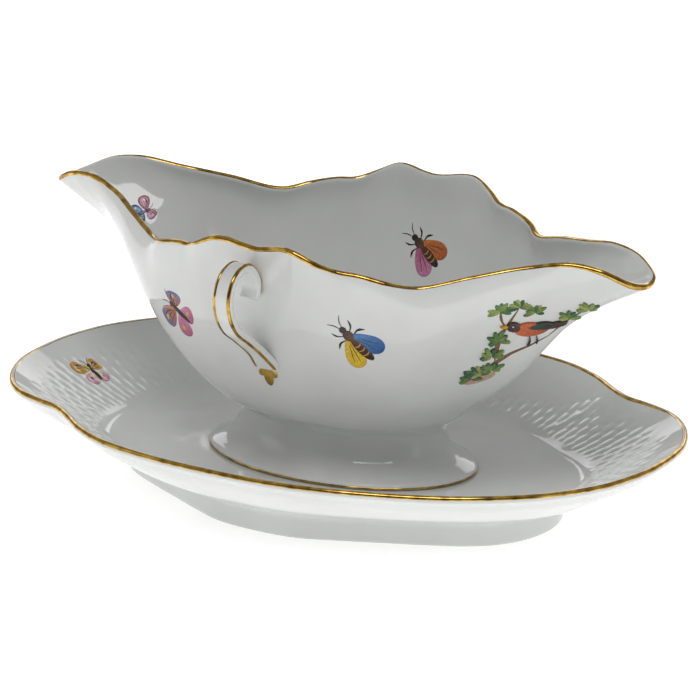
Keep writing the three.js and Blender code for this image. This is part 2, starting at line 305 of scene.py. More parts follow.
finish_tree(moulding, moulded.outputs[0], given["Glaze"])


def colour(code):
    """A colour given as sRGB hex, made linear."""
    parts = [int(code[i : i + 2], 16) / 255 for i in (0, 2, 4)]
    return tuple(c / 12.92 if c <= 0.04045 else ((c + 0.055) / 1.055) ** 2.4 for c in parts) + (1.0,)


def two_tone(tree, amount, low, low_code, high, high_code):
    """A colour that goes from one to the other as the amount goes from low to high."""
    ramp = add(tree, "ShaderNodeValToRGB", {"Fac": amount})
    stops = ramp.color_ramp.elements
    stops[0].position, stops[0].color = low, colour(low_code)
    stops[1].position, stops[1].color = high, colour(high_code)
    return ramp.outputs[0]


def new_material(name):
    """An empty material, with its tree and its one shader."""
    material = bpy.data.materials.new(name)
    material.use_nodes = True
    tree = material.node_tree
    tree.nodes.clear()
    shader = add(tree, "ShaderNodeBsdfPrincipled")
    add(tree, "ShaderNodeOutputMaterial", {"Surface": shader.outputs[0]})
    return material, tree, shader


# Hard porcelain under a clear feldspar glaze: white and mirror smooth, with the long soft waves of
# a dipped glaze that bend reflections a little, and a fine ripple.
porcelain, tree, shader = new_material("clear_glazed_porcelain")
place = add(tree, "ShaderNodeTexCoord").outputs["Object"]
pooling = add(tree, "ShaderNodeTexNoise", {"Vector": place, "Scale": 38.0, "Detail": 3.0})
whites = two_tone(tree, pooling.outputs[0], 0.3, "dadbd9", 0.7, "e2e3e1")
tree.links.new(whites, shader.inputs["Base Color"])
gloss = add(tree, "ShaderNodeMapRange", {"Value": pooling.outputs[0], "To Min": 0.035, "To Max": 0.075})
tree.links.new(gloss.outputs[0], shader.inputs["Roughness"])
shader.inputs["IOR"].default_value = 1.52
waves = add(tree, "ShaderNodeTexNoise", {"Vector": place, "Scale": 75.0, "Detail": 1.0})
ripple = add(tree, "ShaderNodeTexNoise", {"Vector": place, "Scale": 420.0, "Detail": 2.0})
long_bump = add(
    tree, "ShaderNodeBump", {"Height": waves.outputs[0], "Strength": 0.35, "Distance": 0.00012}
)
fine_bump = add(
    tree,
    "ShaderNodeBump",
    {"Height": ripple.outputs[0], "Strength": 0.25, "Distance": 0.00001, "Normal": long_bump.outputs[0]},
)
tree.links.new(fine_bump.outputs[0], shader.inputs["Normal"])

stand = grow(stand, moulding, {"Glaze": porcelain}, "stand_porcelain")
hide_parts("stand_dish", "stand_foot_ring")
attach(stand, "stand")

# ----------------------------------------------------------------------------------------------
# The stand's gilt edge: burnished gold, brushed on over the fired glaze with a fine brush while
# the stand turns on a wheel, so it is a film of slightly uneven width round the rounded edge.
# ----------------------------------------------------------------------------------------------
# Burnished gold: a warm metal with faint marks along the brush stroke, and worn a little in places.
gold, tree, shader = new_material("burnished_gold")
place = add(tree, "ShaderNodeTexCoord").outputs["Object"]
strokes = add(tree, "ShaderNodeTexNoise", {"Vector": place, "Scale": 260.0, "Detail": 4.0})
golds = two_tone(tree, strokes.outputs[0], 0.35, "94702f", 0.68, "dcb65c")
tree.links.new(golds, shader.inputs["Base Color"])
shader.inputs["Metallic"].default_value = 1.0
burnish = add(tree, "ShaderNodeMapRange", {"Value": strokes.outputs[0], "To Min": 0.06, "To Max": 0.16})
tree.links.new(burnish.outputs[0], shader.inputs["Roughness"])
marks = add(tree, "ShaderNodeBump", {"Height": strokes.outputs[0], "Strength": 0.3, "Distance": 0.00003})
tree.links.new(marks.outputs[0], shader.inputs["Normal"])

# one tree draws every gilt line: a thin round band along a path, its width wavering like a brush's
gilt_line, given = new_tree(
    "gilt_line",
    {"Steps": 400, "Half Width": 0.0014, "Waver": 0.04, "Seed": 1.0, "Gold": "Material"},
)
even = add(gilt_line, "GeometryNodeResampleCurve", {"Curve": given["Geometry"], "Count": given["Steps"]})
spot = add(gilt_line, "GeometryNodeInputPosition").outputs[0]
hand = add(
    gilt_line,
    "ShaderNodeTexNoise",
    {"Vector": spot, "W": given["Seed"], "Scale": 55.0, "Detail": 1.0},
    noise_dimensions="4D",
)
low = add(gilt_line, "ShaderNodeMath", {0: 1.0, 1: given["Waver"]}, operation="SUBTRACT")
high = add(gilt_line, "ShaderNodeMath", {0: 1.0, 1: given["Waver"]}, operation="ADD")
swell = add(
    gilt_line,
    "ShaderNodeMapRange",
    {"Value": hand.outputs[0], "From Min": 0.3, "From Max": 0.7,
     "To Min": low.outputs[0], "To Max": high.outputs[0]},
)
sized = add(gilt_line, "GeometryNodeSetCurveRadius", {"Curve": even.outputs[0], "Radius": swell.outputs[0]})
brush = add(gilt_line, "GeometryNodeCurvePrimitiveCircle", {"Resolution": 14, "Radius": given["Half Width"]})
band = add(
    gilt_line,
    "GeometryNodeCurveToMesh",
    {"Curve": sized.outputs[0], "Profile Curve": brush.outputs[0], "Fill Caps": True},
)
soft = add(gilt_line, "GeometryNodeSetShadeSmooth", {"Geometry": band.outputs[0]})
finish_tree(gilt_line, soft.outputs[0], given["Gold"])


def path_curve(name, points, closed):
    """A poly curve through points given in millimetres."""
    curve = bpy.data.curves.new(name, "CURVE")
    curve.dimensions = "3D"
    line = curve.splines.new("POLY")
    line.points.add(len(points) - 1)
    flat = np.column_stack([np.array(points) * MM, np.ones(len(points))])
    line.points.foreach_set("co", flat.ravel())
    line.use_cyclic_u = closed
    holder = bpy.data.objects.new(name, curve)
    bpy.context.scene.collection.objects.link(holder)
    return holder


def gild(name, points, closed, half_width, steps, seed, waver):
    """Lays one gilt line along the path."""
    sizes = {"Steps": steps, "Half Width": half_width * MM, "Waver": waver}
    sizes |= {"Seed": float(seed), "Gold": gold}
    return grow(path_curve(name, points, closed), gilt_line, sizes, name)


STAND_GILT_OFFSET = 0.26  # the film lies on the upper and outer side of the edge
edge_middle = at_height(
    inset(outline, STAND_EDGE_RADIUS - STAND_GILT_OFFSET),
    STAND_RIM_HEIGHT - STAND_EDGE_RADIUS + STAND_GILT_OFFSET,
)
stand_gilt = gild("stand_gilt_edge", edge_middle, True, 1.13, 720, 3, 0.03)
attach(stand_gilt, "stand")

# ----------------------------------------------------------------------------------------------
# The boat: a thin-walled bowl drawn out into a lip at each end, on a flared oval foot. Bowl and
# foot are cast apart, luted with slip and fired into one glazed piece.
# ----------------------------------------------------------------------------------------------
BOAT_STEPS = 480
WALL, LIP_WALL, FOOT_WALL = 3.2, 2.4, 4
FOOT_BASE_HEIGHT, WAIST_HEIGHT, FLOOR_HEIGHT = 12.05, 28.5, 32.5
FOOT_BASE, WAIST = (49.0, 34.0), (37.5, 24.0)  # half lengths and half widths
RIM_QUARTER = [
    (115, 0, 90), (112.8, 7.6, 91.5), (104, 12.9, 96), (94, 15.7, 97.6), (80, 21, 95.6),
    (66, 30.2, 92.3), (51.8, 39.1, 88.5), (44.5, 46, 89.9), (35.5, 49.9, 91.9), (29.5, 51.9, 92.5),
    (23, 56, 94.8), (15.5, 58.2, 98), (11, 57.7, 98.4), (5, 57.1, 97.4), (0, 57.2, 96.8),
]
# how far out the wall is, at a share of its height: under the lips, and at the sides
LIP_PROFILE = [
    (0, 0), (0.08, 0.06), (0.15, 0.14), (0.27, 0.25), (0.4, 0.4), (0.5, 0.55), (0.61, 0.7),
    (0.75, 0.83), (1, 1),
]
SIDE_PROFILE = [
    (0, 0), (0.26, 0.06), (0.46, 0.14), (0.62, 0.26), (0.73, 0.4), (0.83, 0.55), (0.91, 0.7),
    (0.98, 0.86), (1, 1),
]
BELLY_HOLD = 4.5  # the oval belly takes the rim's lobed shape late
rim = smooth_through(all_quarters(RIM_QUARTER), BOAT_STEPS, True)
turn = np.linspace(0, 2 * math.pi, BOAT_STEPS, endpoint=False)
circle = np.stack([np.cos(turn), np.sin(turn)], axis=1)
rim_reach = np.array([RIM_QUARTER[0][0], RIM_QUARTER[-1][1]])


def oval_ring(half_length, half_width, height):
    return at_height(circle * (half_length, half_width), height)


def part_out(profile, up):
    """How far out the profile is at a share of the height."""
    line = smooth_through(profile, 400, False)
    return np.interp(up, line[:, 1], line[:, 0])


def wall_rings(levels):
    """The outside of the bowl, as rings at shares of the wall's height."""
    rings = []
    for up in levels:
        reach = np.array([
            blend(WAIST[0], rim_reach[0], part_out(LIP_PROFILE, up)),
            blend(WAIST[1], rim_reach[1], part_out(SIDE_PROFILE, up)),
        ])
        ring = blend(circle, rim[:, :2] / rim_reach, up**BELLY_HOLD) * reach
        rings.append(np.column_stack([ring, blend(WAIST_HEIGHT, rim[:, 2], up)]))
    return np.array(rings)


def outward(rings):
    """Unit normals of a grid of rings."""
    along = np.roll(rings, -1, axis=1) - np.roll(rings, 1, axis=1)
    normals = np.cross(along, np.gradient(rings, axis=0))
    return normals / np.linalg.norm(normals, axis=2, keepdims=True)


WALL_TOP = 0.992  # the wall's share below the rounded lip
levels = np.concatenate([np.linspace(0, 0.2, 16, endpoint=False), np.linspace(0.2, WALL_TOP, 54)])
outer = wall_rings(levels)
normals = outward(outer)
thickness = np.interp(levels, (0, 1), (WALL, LIP_WALL))[:, None, None]
inner = outer - normals * thickness
ROUNDED = 6  # the lowest rings inside ease over into the floor
inner[:ROUNDED] = blend(
    inner[:ROUNDED], inner[ROUNDED : ROUNDED + 1], np.linspace(0.35, 0, ROUNDED)[:, None, None]
)

boat_rings = []
# inside the hollow foot, from its ceiling down
foot_height = WAIST_HEIGHT - FOOT_BASE_HEIGHT
FOOT_CEILING = 0.9  # its share of the foot's height


def foot_ring(out, up, wall=0):
    """A ring of the foot, part of the way out from the WAIST to the base and up to the WAIST."""
    length = blend(WAIST[0], FOOT_BASE[0], out) - wall
    width = blend(WAIST[1], FOOT_BASE[1], out) - wall
    return oval_ring(max(length, 8), max(width, 5), FOOT_BASE_HEIGHT + up * foot_height)


for out, up in [
    (-0.75, FOOT_CEILING), (-0.3, 0.88), (-0.08, 0.82), (0, 0.74), (0.1, 0.62), (0.45, 0.36),
    (0.8, 0.1), (0.86, 0.02),
]:
    boat_rings.append(foot_ring(out, up, FOOT_WALL))
# the bearing edge, and up the outside of the skirt
for gap in (2.2, 0.6):
    boat_rings.append(oval_ring(FOOT_BASE[0] - gap, FOOT_BASE[1] - gap, FOOT_BASE_HEIGHT))
for out, up in smooth_through(
    [(0.985, 0.03), (1, 0.075), (0.95, 0.115), (0.78, 0.175), (0.52, 0.27), (0.3, 0.4), (0.14, 0.56),
     (0.05, 0.76), (0.015, 0.92), (0.01, 0.99)], 40, False
):
    boat_rings.append(foot_ring(out, up))
joint = len(boat_rings)
boat_rings += list(outer)
# the lip is half round, and leans with the wall
lip_radius = LIP_WALL / 2
lip_along = np.roll(outer[-1], -1, axis=0) - np.roll(outer[-1], 1, axis=0)
lip_up = np.cross(normals[-1], lip_along)
lip_up /= np.linalg.norm(lip_up, axis=1)[:, None]
lip_middle = outer[-1] - normals[-1] * lip_radius
for angle in np.radians(np.linspace(0, 180, 12))[1:-1]:
    round_lip = math.cos(angle) * normals[-1] + math.sin(angle) * lip_up
    boat_rings.append(lip_middle + lip_radius * round_lip)
boat_rings += list(inner[::-1])
floor_ring = inner[0]
for part in (0.86, 0.7, 0.52, 0.34, 0.16):
    ring = floor_ring * (part, part, 1)
    ring[:, 2] = blend(FLOOR_HEIGHT, floor_ring[:, 2], part**2)
    boat_rings.append(ring)
boat_rings = np.array(boat_rings)
for _ in range(14):  # smoothing makes the slip fillet where the bowl sits on the foot
    near = boat_rings[joint - 4 : joint + 6]
    boat_rings[joint - 3 : joint + 5] = (near[:-2] + 2 * near[1:-1] + near[2:]) / 4
ceiling_height = FOOT_BASE_HEIGHT + FOOT_CEILING * foot_height
boat = loft("boat_porcelain", boat_rings, (0, 0, ceiling_height), (0, 0, FLOOR_HEIGHT))
boat.data.materials.append(porcelain)
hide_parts("boat_bowl", "boat_foot")
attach(boat, "boat")

# ----------------------------------------------------------------------------------------------
# The handles: two flat straps of porcelain, each bent into a scroll and luted to the side of the
# bowl by a spreading lower end, with the scroll's curled top against the wall.
# ----------------------------------------------------------------------------------------------
HANDLE_STEPS = 150
HANDLE_WIDTH, HANDLE_THICKNESS = 7.0, 2.8
ROOT_SPREAD, ROOT_PART = 1.42, 0.15  # how much wider the root is, over how much of the strap
# the middle of the strap, out from the boat's axis and up, from the lower end to the curled top
HANDLE_PATH = [
    (46.9, 54.7), (49, 56.8), (54.5, 62), (62.7, 68.1), (69.5, 73), (73.3, 78.8), (74.2, 84),
    (72.4, 89), (68.6, 92), (64, 92.5), (60.2, 90), (57.9, 86), (58.3, 82.2), (59, 80.9),
]
strap_middle = smooth_through(HANDLE_PATH, HANDLE_STEPS, False)

# one tree sweeps the strap's rounded section along its path, tapers its tip and spreads its root
strap, given = new_tree(
    "handle_strap",
    {"Steps": HANDLE_STEPS, "Width": HANDLE_WIDTH * MM, "Thickness": HANDLE_THICKNESS * MM,
     "Corner": 1.2 * MM, "Spread": ROOT_SPREAD, "Spread Part": ROOT_PART, "Glaze": "Material"},
)
even = add(strap, "GeometryNodeResampleCurve", {"Curve": given["Geometry"], "Count": given["Steps"]})
part = add(strap, "GeometryNodeSplineParameter").outputs["Factor"]
tip = add(
    strap,
    "ShaderNodeMapRange",
    {"Value": part, "From Min": 0.955, "From Max": 1.0, "To Min": 1.0, "To Max": 0.55},
    interpolation_type="SMOOTHSTEP",
)
sized = add(strap, "GeometryNodeSetCurveRadius", {"Curve": even.outputs[0], "Radius": tip.outputs[0]})
noted = add(strap, "GeometryNodeCaptureAttribute", {"Geometry": sized.outputs[0]})
noted.capture_items.new("FLOAT", "Part")
strap.links.new(part, noted.inputs["Part"])
section = add(
    strap,
    "GeometryNodeCurvePrimitiveQuadrilateral",
    {"Width": given["Width"], "Height": given["Thickness"]},
)
corners = add(
    strap,
    "GeometryNodeFilletCurve",
    {"Curve": section.outputs[0], "Count": 5, "Radius": given["Corner"]},
    mode="POLY",
)
swept = add(
    strap,
    "GeometryNodeCurveToMesh",
    {"Curve": noted.outputs["Geometry"], "Profile Curve": corners.outputs[0], "Fill Caps": True},
)
spread = add(
    strap,
    "ShaderNodeMapRange",
    {"Value": noted.outputs["Part"], "From Min": 0.0, "From Max": given["Spread Part"],
     "To Min": given["Spread"], "To Max": 1.0},
    interpolation_type="SMOOTHSTEP",
)
spot = add(strap, "GeometryNodeInputPosition").outputs[0]
apart = add(strap, "ShaderNodeSeparateXYZ", {"Vector": spot})
wide = add(strap, "ShaderNodeMath", {0: apart.outputs[0], 1: spread.outputs[0]}, operation="MULTIPLY")
joined = add(
    strap, "ShaderNodeCombineXYZ", {"X": wide.outputs[0], "Y": apart.outputs[1], "Z": apart.outputs[2]}
)
placed = add(strap, "GeometryNodeSetPosition", {"Geometry": swept.outputs[0], "Position": joined.outputs[0]})
soft = add(strap, "GeometryNodeSetShadeSmooth", {"Geometry": placed.outputs[0]})
finish_tree(strap, soft.outputs[0], given["Glaze"])

for side, node in ((-1, "handle_front"), (1, "handle_back")):
    path = np.column_stack([np.zeros(HANDLE_STEPS), side * strap_middle[:, 0], strap_middle[:, 1]])
    handle = grow(path_curve(node, path, False), strap, {"Glaze": porcelain}, node + "_porcelain")
    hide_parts(node)
    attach(handle, "boat")

# ----------------------------------------------------------------------------------------------
# The boat's gilding: the same brushed and burnished gold, on the lip, as a fine line where the
# skirt meets the stand, and down both edges of each handle to a small gilt leaf at its root.
# ----------------------------------------------------------------------------------------------
lip_top = lip_middle + 0.22 * lip_up + 0.12 * normals[-1]  # a little up and out from the lip
boat_gilt = gild("boat_gilt_lip", lip_top, True, 1.12, 900, 5, 0.03)
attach(boat_gilt, "boat")
skirt_edge = oval_ring(FOOT_BASE[0] - 0.25, FOOT_BASE[1] - 0.25, FOOT_BASE_HEIGHT + 0.75)
foot_gilt = gild("foot_gilt_line", skirt_edge, True, 0.42, 400, 7, 0.1)
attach(foot_gilt, "boat")

GILT_FROM_EDGE, GILT_SUNK = 0.9, 0.4  # the line's middle, in from the strap's edge and its face
ahead = np.gradient(strap_middle, axis=0)
ahead /= np.linalg.norm(ahead, axis=1)[:, None]
outwards = np.stack([ahead[:, 1], -ahead[:, 0]], axis=1)
face = strap_middle + outwards * (HANDLE_THICKNESS / 2 - GILT_SUNK)
spread_by = blend(ROOT_SPREAD, 1.0, ease(0, ROOT_PART, np.linspace(0, 1, HANDLE_STEPS)))
for side, node in ((-1, "front"), (1, "back")):
    for edge, word in ((-1, "left"), (1, "right")):
        x = edge * (HANDLE_WIDTH / 2 - GILT_FROM_EDGE) * spread_by
        line = np.column_stack([x, side * face[:, 0], face[:, 1]])[3:-4]
        gilt = gild(f"handle_{node}_gilt_{word}", line, False, 0.66, 140, 11 + edge + side, 0.08)
        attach(gilt, "boat")


def flat_film(outlines, lift, sink):
    """Closed thin shapes in their own plane: rings for the top, and the same again below. Gives
    the points, each point's height over the wall, the faces, and which shape each point is of."""
    points, lifts, faces, owner = [], [], [], []
    shares = (0.3, 0.62, 0.86, 1.0)  # the rings, out from the middle
    for number, (loop, extra) in enumerate(outlines):
        loop = np.array(loop)
        middle = loop.mean(axis=0)
        steps = len(loop)
        start = len(points)
        sheet = [(share, lift + extra) for share in shares] + [(share, sink) for share in shares[::-1]]
        for share, height in sheet:
            points += (middle + (loop - middle) * share).tolist()
            lifts += [height if share < 1 or height == sink else (height + sink) / 2] * steps
        points += [middle.tolist(), middle.tolist()]
        lifts += [lift + extra, sink]
        top = start + len(sheet) * steps
        for ring in range(len(sheet) - 1):
            for i in range(steps):
                a, b = start + ring * steps + i, start + ring * steps + (i + 1) % steps
                faces.append((a, a + steps, b + steps, b))
        last = start + (len(sheet) - 1) * steps
        for i in range(steps):
            j = (i + 1) % steps
            faces.append((start + i, start + j, top))
            faces.append((last + j, last + i, top + 1))
        owner += [number] * (len(points) - start)
    return np.array(points), np.array(lifts), faces, owner


# one tree presses flat work onto the glaze: each point goes along the aim to the wall, and stands
# over it by its own height
laid, given = new_tree("laid_on_glaze", {"Wall": "Object", "Aim": "Vector", "Finish": "Material"})
wall_shape = add(laid, "GeometryNodeObjectInfo", {"Object": given["Wall"]}, transform_space="ORIGINAL")
onto = add(
    laid,
    "GeometryNodeRaycast",
    {0: wall_shape.outputs["Geometry"], "Ray Direction": given["Aim"], "Ray Length": 0.2},
)
height = add(laid, "GeometryNodeInputNamedAttribute", {"Name": "lift"}, data_type="FLOAT").outputs[0]
outwards = add(
    laid, "ShaderNodeVectorMath", {0: onto.outputs["Hit Normal"], "Scale": height}, operation="SCALE"
)
resting = add(
    laid, "ShaderNodeVectorMath", {0: onto.outputs["Hit Position"], 1: outwards.outputs[0]}, operation="ADD"
)
placed = add(
    laid,
    "GeometryNodeSetPosition",
    {"Geometry": given["Geometry"], "Selection": onto.outputs["Is Hit"], "Position": resting.outputs[0]},
)
soft = add(laid, "GeometryNodeSetShadeSmooth", {"Geometry": placed.outputs[0]})
finish_tree(laid, soft.outputs[0], given["Finish"])


STROKE_STEP = 0.012  # each stroke stands this much over the one before


def lay_on(name, wall, place, facing, turn, shapes, finish, lift=0.05, sink=-0.12, standoff=22):
    """Lays flat shapes onto the wall about the place, seen from the side that they face and turned
    by degrees. A shape is its outline, root colour, tip colour, root and tip."""
    facing = Vector(facing).normalized()
    upward = (Vector((0, 0, 1)) - facing * facing.z).normalized()
    across = upward.cross(facing)
    cos, sin = math.cos(math.radians(turn)), math.sin(math.radians(turn))
    axis_x, axis_y = across * cos + upward * sin, upward * cos - across * sin
    outlines = [(shape[0], STROKE_STEP * number) for number, shape in enumerate(shapes)]
    flat, lifts, faces, owner = flat_film(outlines, lift, sink)
    origin = np.array(place) + np.array(facing) * standoff
    points = origin + flat[:, :1] * np.array(axis_x) + flat[:, 1:] * np.array(axis_y)
    mesh = bpy.data.meshes.new(name)
    mesh.from_pydata((points * MM).tolist(), [], faces)
    mesh.attributes.new("lift", "FLOAT", "POINT").data.foreach_set("value", lifts * MM)
    paint = []
    for (x, y), number in zip(flat, owner):
        _, root_colour, tip_colour, root, tip = shapes[number]
        reach = np.array(tip, float) - root
        share = float(np.dot((x - root[0], y - root[1]), reach) / np.dot(reach, reach))
        share = min(max(share, 0), 1)
        paint += [blend(a, b, share) for a, b in zip(colour(root_colour), colour(tip_colour))]
    mesh.attributes.new("enamel", "FLOAT_COLOR", "POINT").data.foreach_set("color", paint)
    mesh.update()
    sheet = bpy.data.objects.new(name, mesh)
    bpy.context.scene.collection.objects.link(sheet)
    return grow(sheet, laid, {"Wall": wall, "Aim": tuple(-facing), "Finish": finish}, name)


def wing(root, tip, width, steps=28, fullness=0.42):
    """A rounded shape from root to tip, fullest towards the tip."""
    t = np.linspace(0, 2 * math.pi, steps, endpoint=False)
    along = (1 - np.cos(t)) / 2
    reach = np.array(tip, float) - root
    sideways = np.array([-reach[1], reach[0]]) / np.linalg.norm(reach)
    across = -width / 2 * np.sin(t) * (1 - fullness * np.cos(t))
    return np.array(root) + along[:, None] * reach + across[:, None] * sideways


def petal(root, tip, width, near, far, fullness=0.42):
    """A rounded shape with its two colours, near its root and at its tip."""
    return wing(root, tip, width, fullness=fullness), near, far, root, tip


# each handle's root: a small leaf of three lobes, modelled in slip and gilt all over
LEAF_THICKNESS, LEAF_SUNK = 0.55, -0.3
lobes = [
    petal((0, 4.5), (0, -4), 3.4, "ffffff", "ffffff", 0.1),
    petal((-0.6, 4.8), (-2.9, -0.4), 2.3, "ffffff", "ffffff"),
    petal((0.6, 4.8), (2.9, -0.4), 2.3, "ffffff", "ffffff"),
]
for side, node in ((-1, "front"), (1, "back")):
    spot, facing = (0, side * 44.5, 52.6), (0, side, -0.5)
    leaf = lay_on(
        f"handle_{node}_gilt_leaf", boat, spot, facing, 0, lobes, gold, LEAF_THICKNESS, LEAF_SUNK
    )
    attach(leaf, "boat")

# ----------------------------------------------------------------------------------------------
# The painting: insects scattered on boat and stand, and a small bird in a leafy bough under one
# lip. Vitreous enamels, brushed by hand on the fired glaze and fired again, so they stand up a
# few hundredths of a millimetre.
# ----------------------------------------------------------------------------------------------
# Glossy enamel: the colours kept on each stroke, broken up by streaks as a loaded brush leaves them.
enamel, tree, shader = new_material("painted_enamel")
place = add(tree, "ShaderNodeTexCoord").outputs["Object"]
brushed = add(tree, "ShaderNodeAttribute", attribute_name="enamel").outputs["Color"]
streaks = add(tree, "ShaderNodeTexNoise", {"Vector": place, "Scale": 1500.0, "Detail": 3.0})
depth = add(
    tree,
    "ShaderNodeMapRange",
    {"Value": streaks.outputs[0], "From Min": 0.3, "From Max": 0.7, "To Min": 0.72, "To Max": 1.25},
)
laid_colour = add(
    tree, "ShaderNodeVectorMath", {0: brushed, "Scale": depth.outputs[0]}, operation="SCALE"
)
tree.links.new(laid_colour.outputs[0], shader.inputs["Base Color"])
shader.inputs["Roughness"].default_value = 0.18
raised_paint = add(
    tree, "ShaderNodeBump", {"Height": streaks.outputs[0], "Strength": 0.4, "Distance": 0.00002}
)
tree.links.new(raised_paint.outputs[0], shader.inputs["Normal"])
INK, VEIN, BARK = "2a211c", "4a3528", "7a5a3c"


def stroke(points, width, code=INK):
    """A brush line through the points, thinning at both ends."""
    line = smooth_through(points, 14, False)
    ahead = np.gradient(line, axis=0)
    ahead /= np.linalg.norm(ahead, axis=1)[:, None]
    side_step = np.stack([-ahead[:, 1], ahead[:, 0]], axis=1)
    pressed = np.sin(np.linspace(0.15, math.pi - 0.15, len(line)))  # how hard the brush is held
    half = width / 2 * (0.35 + 0.65 * pressed)[:, None]
    loop = np.vstack([line - side_step * half, (line + side_step * half)[::-1]])
    return loop, code, code, points[0], points[-1]


def scaled(shapes, size):
    """The same drawing, larger or smaller."""
    return [
        (np.array(loop) * size, near, far, np.array(root) * size, np.array(tip) * size)
        for loop, near, far, root, tip in shapes
    ]


def fly(left, right, size):
    """A fly at rest, its wings swept back, head along +x; each wing is (root colour, tip colour)."""
    shapes = []
    for y in (1, -1):
        shapes += [
            stroke([(2.4, 0.8 * y), (4, 3 * y), (5.6, 3.4 * y)], 0.32),
            stroke([(1.4, 1 * y), (1.8, 3.8 * y), (0.6, 5.2 * y)], 0.32),
            stroke([(5, 0.4 * y), (6.6, 1 * y), (8.2, 2.4 * y)], 0.28),
        ]
    for y, (near, far) in ((1, left), (-1, right)):
        shapes.append(petal((2, 0.5 * y), (-7.2, 4.8 * y), 5.2, near, far))
        shapes += [
            stroke([(0.6, 1.1 * y), (-3, 2.3 * y), (-6.2, 3.4 * y)], 0.26, VEIN),
            stroke([(0.2, 1.6 * y), (-2.6, 3.4 * y), (-5.4, 5.2 * y)], 0.26, VEIN),
        ]
    shapes.append(petal((1.4, 0), (-7.6, 0), 3.1, "5b3a26", "33231b", 0.05))
    for x in (-1.6, -3.2, -4.8):
        shapes.append(stroke([(x, -1.25), (x - 0.45, 0), (x, 1.25)], 0.5, "b98a4c"))
    shapes.append(petal((3.8, 0), (0.1, 0), 3.1, "3a2b22", "6d4a30", 0.0))
    shapes.append(petal((5.3, 0), (3.3, 0), 2.1, "221a16", "3a2b22", 0.0))
    return scaled(shapes, size)


def butterfly(upper_wing, lower_wing, spot, size, far_side=0.62):
    """A butterfly with open wings, head along +x; the far pair is drawn narrower."""
    shapes = []
    for y in (1, -1):
        shapes.append(stroke([(3.4, 0.2 * y), (5.4, 1 * y), (7.2, 2.6 * y)], 0.28))
    for y in (-far_side, 1):
        shapes.append(petal((-0.8, 0.4 * y), (-6, 6 * y), 5.6, *lower_wing))
        shapes.append(petal((1.4, 0.4 * y), (4, 9.2 * y), 6.4, *upper_wing))
        shapes.append(petal((3.1, 7.4 * y), (3.3, 5.2 * y), 1.9, spot, spot, 0.0))
        shapes.append(petal((-4, 4.9 * y), (-3.2, 3.4 * y), 1.5, spot, spot, 0.0))
        for tip_x in (1.0, 2.6, 4.4):
            vein = [(1.2, 0.9 * y), (tip_x, 4.4 * y), (tip_x + 0.2, 7.6 * y)]
            shapes.append(stroke(vein, 0.24, "4a2f2a"))
    shapes.append(petal((2.6, 0), (-5.4, 0), 1.7, "3a2a22", "241a16", 0.0))
    shapes.append(petal((3.9, 0), (2.2, 0), 1.6, "2b201b", "2b201b", 0.0))
    return scaled(shapes, size)


BLUE, SKY, YELLOW, ORANGE = "2b5796", "4f86bd", "d6b23c", "c9763a"
PINK, ROSE, CREAM = "cc82a8", "b05a7c", "e6cfa0"
front_fly = fly((YELLOW, "d8b52e"), (SKY, BLUE), 1.2)
inside_fly = fly((ROSE, PINK), (ORANGE, "b8642c"), 1.14)
left_butterfly = butterfly((ORANGE, BLUE), (PINK, ROSE), YELLOW, 1.15, 0.5)
spout_butterfly = butterfly((PINK, ROSE), (SKY, BLUE), CREAM, 0.6)
stand_moth = butterfly((YELLOW, "c98a2a"), (CREAM, PINK), BLUE, 0.92)
insects = [  # name, what it is painted on, place, the way it faces, heading in degrees, drawing
    ("fly_front", boat, (33, -47.2, 69.8), (0.29, -0.92, -0.26), 134, front_fly),
    ("fly_inside", boat, (-0.6, 50.4, 72.4), (-0.04, -0.97, 0.25), 142, inside_fly),
    ("butterfly_left", boat, (-36, -46.4, 67.4), (-0.3, -0.9, -0.28), 148, left_butterfly),
    ("butterfly_spout", boat, (-87.4, 8.2, 80.2), (0.45, -0.66, 0.6), 30, spout_butterfly),
    ("moth_stand", stand, (-104, 1.5, 21.7), (0.49, -0.02, 0.87), 84, stand_moth),
]
for name, wall, spot, facing, heading, shapes in insects:
    painted = lay_on("painted_" + name, wall, spot, facing, heading, shapes, enamel, standoff=6)
    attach(painted, "stand" if wall is stand else "boat")

# the bough: stems first, then leaves in seeded tufts, then the bird on its perch
random = np.random.default_rng(21)
bough = [
    stroke([(-17, -15), (-12, -10), (-6, -6.5), (1, -4), (7, -0.6)], 1.0, BARK),
    stroke([(-11, -9.5), (-10.5, -2), (-7, 6), (-3, 13)], 0.8, BARK),
    stroke([(6, -1.2), (9.5, 2.6), (14, 7.5), (20, 12.5)], 0.7, BARK),
    stroke([(-6, 3), (-9, 9), (-9, 13)], 0.5, BARK),
]
bough.append(petal((-21, -17), (-10.5, -14.6), 4.2, "c98f8a", "b7a07c", 0.1))  # the ground
greens = ["47703a", "64843f", "86984a", "335c3c", "9c9f58"]
tufts = [  # place, and how many leaves fan out from it
    (-3, 13, 9), (-9, 12, 7), (2, 10.5, 7), (-16, -13, 9), (-12, -12.5, 8), (-19, -14.5, 6),
    (19, 11.5, 6), (12.5, 7.5, 5), (-10, 0.5, 6), (-12, -6, 6),
]
for x, y, count in tufts:
    for number in range(count):
        fan = -20 + 220 * number / max(count - 1, 1)
        angle = math.radians(fan + random.uniform(-12, 12))
        length = random.uniform(3.0, 4.6)
        tip = (x + length * math.cos(angle), y + length * math.sin(angle))
        code, other = greens[random.integers(5)], greens[random.integers(5)]
        bough.append(petal((x, y), tip, 1.5, code, other, 0.1))
